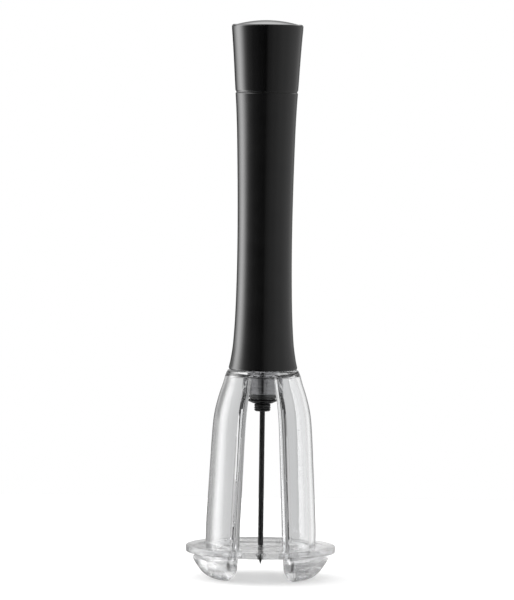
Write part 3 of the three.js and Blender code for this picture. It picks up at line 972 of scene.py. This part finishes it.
def soft_step(tree, value, start, end):
    """0 below start, 1 above end and smooth between."""
    step = tree.nodes.new("ShaderNodeMapRange")
    step.interpolation_type = "SMOOTHSTEP"
    step.inputs["From Min"].default_value = start
    step.inputs["From Max"].default_value = end
    tree.links.new(value, step.inputs["Value"])
    return step.outputs["Result"]


def by_bearing(stops):
    """Stops by bearing in degrees, 0 in front and positive to the right, as places from 0 to 1."""
    return [(degrees / 360 + 0.5, brightness) for degrees, brightness in stops]


def studio():
    """The world, which looks different to each kind of ray.

    It is white to the camera. To mirrored light it is a tall soft light on the left, a weak fill on the
    right and a band above and behind; to light through the clear pieces it is a greyer gradient.
    """
    world = bpy.data.worlds.new("studio")
    bpy.context.scene.world = world
    world.use_nodes = True
    tree = world.node_tree
    background = tree.nodes["Background"]
    way = tree.nodes.new("ShaderNodeTexCoord").outputs["Generated"]
    split = tree.nodes.new("ShaderNodeSeparateXYZ")
    tree.links.new(way, split.inputs[0])
    x, y, z = split.outputs
    bearing = maths(tree, "ARCTAN2", x, maths(tree, "MULTIPLY", y, -1.0))
    place = maths(tree, "ADD", maths(tree, "DIVIDE", bearing, 2 * math.pi), 0.5)

    brightest = 8.0
    to_camera, to_matt, overhead, underneath = 1.0, 1.4, 0.9, 0.95
    left_light = [
        (-138, 1.0), (-130, 2.3), (-122, 3.8), (-115, 5.2), (-109, 6.0), (-104, 5.9), (-98, 5.2),
        (-93, 4.0), (-88, 2.9), (-84, 1.9), (-79, 1.15), (-71, 0.58), (-62, 0.34), (-47, 0.15),
        (-20, 0.06), (-5, 0.03)]
    right_fill = [(8, 0.24), (26, 0.38), (62, 0.6), (95, 0.74), (122, 0.7), (140, 0.66)]
    around = [(-180, 0.1), (-152, 0.12), *left_light, *right_fill, (154, 0.3), (180, 0.1)]
    through = [
        (-180, BACKDROP), (-168, BACKDROP), (-154, 0.3), (-142, 0.24), (-128, 0.32), (-112, 0.56),
        (-85, 0.6), (-50, 0.42), (-18, 0.2), (-8, 0.04), (6, 0.04), (15, 0.36), (45, 0.5), (90, 0.6),
        (120, 0.6), (138, 0.75), (150, 1.0), (162, 1.0), (172, BACKDROP), (180, BACKDROP)]
    upwards = [
        (0.0, 0.5), (0.1, 0.5), (0.19, 0.33), (0.27, 0.45), (0.35, 1.1), (0.44, 1.8), (0.6, 2.0),
        (1.0, 0.8)]
    mirrored = sky_value(tree, by_bearing(around), brightest, place)
    passed = sky_value(tree, by_bearing(through), brightest, place)
    above = sky_value(tree, upwards, brightest, z)

    behind = soft_step(tree, y, 0.45, 0.8)
    low_behind = maths(tree, "MULTIPLY", soft_step(tree, z, 0.0, 0.06), behind)
    high_behind = maths(tree, "MULTIPLY", soft_step(tree, z, 0.1, 0.7), behind)
    downwards = soft_step(tree, maths(tree, "MULTIPLY", z, -1.0), 0.16, 0.5)
    mirrored = mix(tree, low_behind, mirrored, above)
    passed = mix(tree, high_behind, passed, overhead / brightest)
    passed = mix(tree, downwards, passed, underneath / brightest)

    rays = tree.nodes.new("ShaderNodeLightPath").outputs
    seen = mix(tree, rays["Is Transmission Ray"], mirrored, passed)
    seen = mix(tree, rays["Is Diffuse Ray"], seen, to_matt / brightest)
    seen = mix(tree, rays["Is Camera Ray"], seen, to_camera / brightest)
    tree.links.new(seen, background.inputs["Color"])
    background.inputs["Strength"].default_value = brightest


def camera():
    """A long lens two metres away, a little below the cap and tilted slightly down."""
    data = bpy.data.cameras.new("camera")
    data.sensor_width = 36.0
    data.lens = 264.0
    data.clip_start, data.clip_end = 0.05, 60.0
    eye = bpy.data.objects.new("camera", data)
    bpy.context.scene.collection.objects.link(eye)
    distance, height, aside, tilt, roll = 2.0, 0.2387, -0.00315, 3.2, 0.79
    eye.location = (aside, -distance, height)
    level = Matrix.Rotation(math.radians(90 - tilt), 4, "X")
    lean = Matrix.Rotation(math.radians(roll), 4, "Z")
    eye.matrix_world = Matrix.Translation(eye.location) @ level @ lean
    bpy.context.scene.camera = eye


floor()
studio()
camera()
bpy.context.scene.view_settings.view_transform = "Standard"
